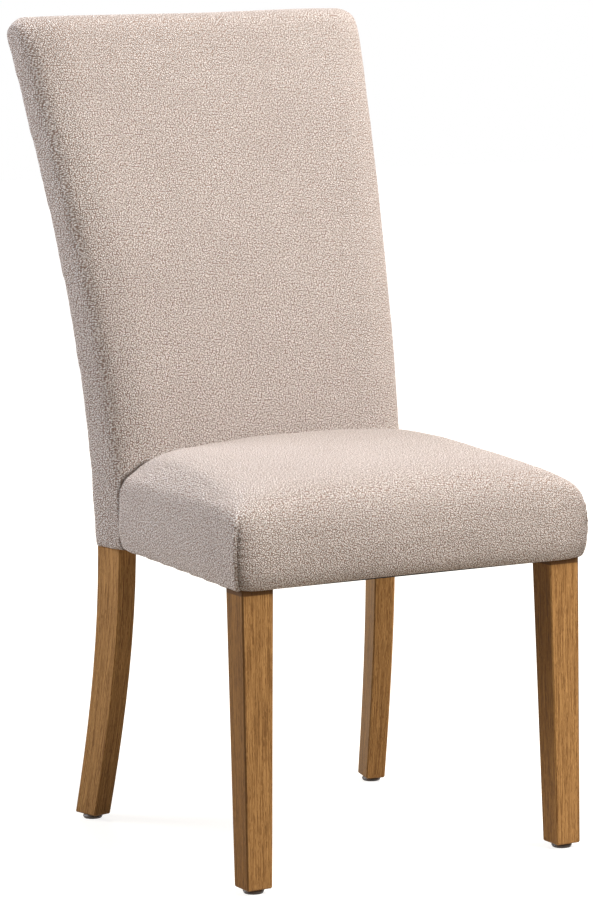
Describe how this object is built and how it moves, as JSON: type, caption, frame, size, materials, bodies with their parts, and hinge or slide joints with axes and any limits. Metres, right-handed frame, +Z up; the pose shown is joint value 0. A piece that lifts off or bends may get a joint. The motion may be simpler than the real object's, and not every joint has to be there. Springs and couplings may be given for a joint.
{
  "type": "upholstered dining chair",
  "caption": "Armless dining chair with a padded seat, a tall curved upholstered back and square wooden legs.",
  "frame": {"origin": "on the floor, in the middle of the chair's width and depth", "axes": "+Z up, the chair faces -Y, +X to the right of someone who stands in front of it and looks at it"},
  "size_m": [0.505, 0.6269, 1.045],
  "materials": {
    "fabric": "nubby woven chenille, matt, warm greige",
    "oak_stain": "satin mid-brown oak stain",
    "hardwood": "bare sawn hardwood",
    "foam": "open-cell upholstery foam, cream",
    "wadding": "white polyester wadding",
    "webbing": "black elastic webbing",
    "dust_cloth": "black non-woven cloth",
    "nylon": "dark brown moulded nylon",
    "steel": "zinc plated"
  },
  "bodies": {
    "root": {"back_cover": "fabric", "back_foam": "foam", "back_rail_lower": "hardwood", "back_rail_top": "hardwood", "back_strap_1": "webbing", "back_strap_2": "webbing", "back_strap_3": "webbing", "back_strap_4": "webbing", "back_wadding": "wadding", "block_screw_rear_left": "steel", "block_screw_rear_right": "steel", "block_screw_side_left": "steel", "block_screw_side_right": "steel", "corner_block_front_left": "hardwood", "corner_block_front_right": "hardwood", "corner_block_rear_left": "hardwood", "corner_block_rear_right": "hardwood", "dowel_front_left": "hardwood", "dowel_front_right": "hardwood", "dowel_rear_left": "hardwood", "dowel_rear_right": "hardwood", "dowel_side_front_left": "hardwood", "dowel_side_front_right": "hardwood", "dowel_side_rear_left": "hardwood", "dowel_side_rear_right": "hardwood", "dust_cover": "dust_cloth", "front_leg_left": "oak_stain", "front_leg_right": "oak_stain", "glide_front_left": "nylon", "glide_front_right": "nylon", "glide_nail_front_left": "steel", "glide_nail_front_right": "steel", "glide_nail_rear_left": "steel", "glide_nail_rear_right": "steel", "glide_rear_left": "nylon", "glide_rear_right": "nylon", "lag_bolt_left": "steel", "lag_bolt_right": "steel", "lag_washer_left": "steel", "lag_washer_right": "steel", "outside_back_panel": "fabric", "rear_post_left": "oak_stain", "rear_post_right": "oak_stain", "seat_cover": "fabric", "seat_foam": "foam", "seat_rail_front": "hardwood", "seat_rail_left": "hardwood", "seat_rail_rear": "hardwood", "seat_rail_right": "hardwood", "seat_strap_cross_1": "webbing", "seat_strap_cross_2": "webbing", "seat_strap_cross_3": "webbing", "seat_strap_long_1": "webbing", "seat_strap_long_2": "webbing", "seat_strap_long_3": "webbing", "seat_strap_long_4": "webbing", "seat_wadding": "wadding"}
  },
  "joints": []
}
